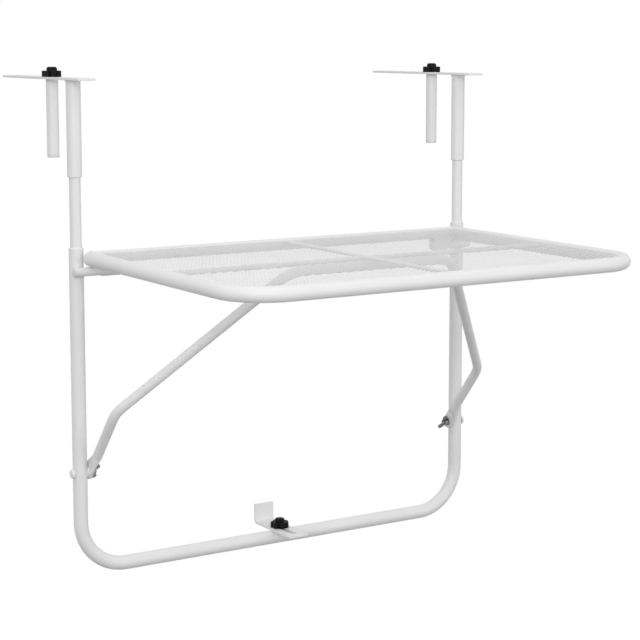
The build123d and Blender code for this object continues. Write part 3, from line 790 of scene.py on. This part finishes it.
@dataclass
class Brace:
    """The bent brace with its two wing nuts."""

    shop: FinishShop

    def build(self) -> None:
        """Dress the brace and the wing nuts."""
        self.shop.dress("brace", Slot.WHITE_STEEL)
        for side in Side:
            self.shop.dress(f"{side.word}_wing_nut", Slot.ZINC_STEEL)


@dataclass
class Foot:
    """The sliding foot bracket with its star knob."""

    shop: FinishShop
    edge_mm: float = 0.6

    def build(self) -> None:
        """Dress the bracket and the knob."""
        self.shop.dress("foot_bracket", Slot.WHITE_STEEL)
        self.shop.soften("foot_bracket", "foot_bracket", self.edge_mm)
        self.shop.dress("foot_knob_grip", Slot.BLACK_PLASTIC)
        self.shop.dress("foot_knob_stud", Slot.ZINC_STEEL)


@dataclass
class RailHanger:
    """One telescoping hanger with its clamp plate, post and star knob."""

    shop: FinishShop
    welder: Welder
    side: Side
    edge_mm: float = 0.6
    steps: int = 48

    def build(self) -> None:
        """Dress the hanger and weld its sleeve under the plate."""
        word = self.side.word
        for node in ("extension_tube", "clamp_sleeve", "clamp_plate", "clamp_post"):
            self.shop.dress(f"{word}_{node}", Slot.WHITE_STEEL)
        self.shop.soften(f"{word}_clamp_plate", f"{word}_hanger", self.edge_mm)
        for node in ("post_top_plug", "post_end_cap"):
            self.shop.dress(f"{word}_{node}", Slot.WHITE_PLASTIC)
        self.shop.dress(f"{word}_clamp_knob_grip", Slot.BLACK_PLASTIC)
        self.shop.dress(f"{word}_clamp_knob_stud", Slot.ZINC_STEEL)
        self.welder.lay(f"{word}_sleeve_weld", f"{word}_hanger", [self.sleeve_ring()])

    def sleeve_ring(self) -> list[Vector]:
        """Ring where the sleeve meets the plate's underside."""
        sleeve = f"{self.side.word}_clamp_sleeve"
        centre, radius = middle(sleeve), span(sleeve).x / 2
        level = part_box(sleeve)[1][2]
        turns = [math.tau * step / self.steps for step in range(self.steps + 1)]
        return [Vector((centre.x + radius * math.cos(turn), centre.y + radius * math.sin(turn), level))
                for turn in turns]


@dataclass
class Lamp:
    """One soft square lamp."""

    name: str
    place: tuple[float, float, float]
    target: tuple[float, float, float]
    size: float
    watts: float

    def hang(self) -> None:
        """Hang the lamp and aim it."""
        light = bpy.data.lights.new(self.name, "AREA")
        light.size = self.size
        light.energy = self.watts
        lamp = bpy.data.objects.new(self.name, light)
        lamp.location = self.place
        aim = Vector(self.target) - Vector(self.place)
        lamp.rotation_euler = aim.to_track_quat("-Z", "Y").to_euler()
        bpy.context.scene.collection.objects.link(lamp)


@dataclass
class Studio:
    """White studio with the photograph's view of the table."""

    rail_height: float = 1.0
    floor_half: float = 30.0
    floor_colour: str = "#888888"
    floor_shadow: float = 0.25
    floor_glow: float = 1.275
    sky_colour: str = "#FFFFFF"
    sky_light: float = 0.70
    sky_shown: float = 1.0
    camera_place: tuple[float, float, float] = (-1.2391, -2.0919, 0.0542)
    camera_yaw_deg: float = -32.062
    camera_pitch_deg: float = 7.446
    camera_lens_mm: float = 99.67
    camera_shift: tuple[float, float] = (-0.004, -0.08)
    lamps: list[Lamp] = field(default_factory=lambda: [
        Lamp("top_lamp", (-0.4, -0.3, 2.4), (0.0, -0.2, -0.3), 2.4, 6.0),
        Lamp("front_lamp", (-1.5, -2.0, 0.4), (0.0, -0.3, -0.3), 1.6, 23.0),
        Lamp("fill_lamp", (1.5, -2.2, -0.2), (0.0, -0.2, -0.3), 1.6, 11.0),
    ])

    def build(self) -> None:
        """Set up world, floor, lamps, camera and colour."""
        self.set_world()
        self.lay_floor()
        for lamp in self.lamps:
            lamp.hang()
        self.set_camera()
        bpy.context.scene.view_settings.view_transform = "Standard"

    @staticmethod
    def seen_rays(tree: bpy.types.NodeTree) -> bpy.types.NodeSocket:
        """Give 1 for rays of the eye, of mirrors and through glass, and 0 for those that light."""
        rays = add_node(tree, "ShaderNodeLightPath")
        seen = rays.outputs["Is Camera Ray"]
        for kind in ("Is Glossy Ray", "Is Transmission Ray"):
            seen = add_node(tree, "ShaderNodeMath", {0: seen, 1: rays.outputs[kind]},
                            operation="MAXIMUM").outputs[0]
        return seen

    def set_world(self) -> None:
        """White for the eye and for mirrors, a dimmer sky for the light on the table."""
        world = bpy.data.worlds.new("studio")
        world.use_nodes = True
        bpy.context.scene.world = world
        tree = world.node_tree
        tree.nodes.clear()
        seen = self.seen_rays(tree)
        sky, white = (add_node(tree, "ShaderNodeBackground", {"Strength": strength,
                                                              "Color": linear(self.sky_colour)})
                      for strength in (self.sky_light, self.sky_shown))
        mix = add_node(tree, "ShaderNodeMixShader", {0: seen, 1: sky.outputs[0], 2: white.outputs[0]})
        add_node(tree, "ShaderNodeOutputWorld", {0: mix.outputs[0]})

    def lay_floor(self) -> None:
        """Lay a pale floor a rail's height below the clamps, white to the eye, with the shadow kept."""
        mesh = bpy.data.meshes.new("floor")
        reach, level = self.floor_half, -self.rail_height
        mesh.from_pydata([(-reach, -reach, level), (reach, -reach, level), (reach, reach, level),
                          (-reach, reach, level)], [], [(0, 1, 2, 3)])
        floor = bpy.data.objects.new("floor", mesh)
        bpy.context.scene.collection.objects.link(floor)
        material = bpy.data.materials.new("pale_studio_floor")
        material.use_nodes = True
        tree = material.node_tree
        tree.nodes.clear()
        seen = self.seen_rays(tree)
        matt = add_node(tree, "ShaderNodeBsdfDiffuse", {"Color": linear(self.floor_colour)})
        glow = add_node(tree, "ShaderNodeEmission", {"Strength": self.floor_glow})
        lit = add_node(tree, "ShaderNodeMixShader", {0: self.floor_shadow, 1: glow.outputs[0],
                                                     2: matt.outputs[0]})
        mix = add_node(tree, "ShaderNodeMixShader", {0: seen, 1: matt.outputs[0], 2: lit.outputs[0]})
        add_node(tree, "ShaderNodeOutputMaterial", {0: mix.outputs[0]})
        mesh.materials.append(material)

    def set_camera(self) -> None:
        """Stand the camera where the photograph was taken."""
        lens = bpy.data.cameras.new("camera")
        lens.lens = self.camera_lens_mm
        lens.shift_x, lens.shift_y = self.camera_shift
        camera = bpy.data.objects.new("camera", lens)
        camera.location = self.camera_place
        camera.rotation_euler = (math.radians(90 - self.camera_pitch_deg), 0.0,
                                 math.radians(self.camera_yaw_deg))
        bpy.context.scene.collection.objects.link(camera)
        bpy.context.scene.camera = camera


def main() -> None:
    """Dress the table piece by piece and set up the studio."""
    logging.basicConfig(level=logging.INFO, format="%(message)s")
    shop = FinishShop()
    shop.open()
    welder = Welder(shop)
    MainFrame(shop, welder).build()
    for side in Side:
        RailHanger(shop, welder, side).build()
    TableTop(shop, welder).build()
    Brace(shop).build()
    Foot(shop).build()
    Studio().build()


if __name__ == "__main__":
    main()
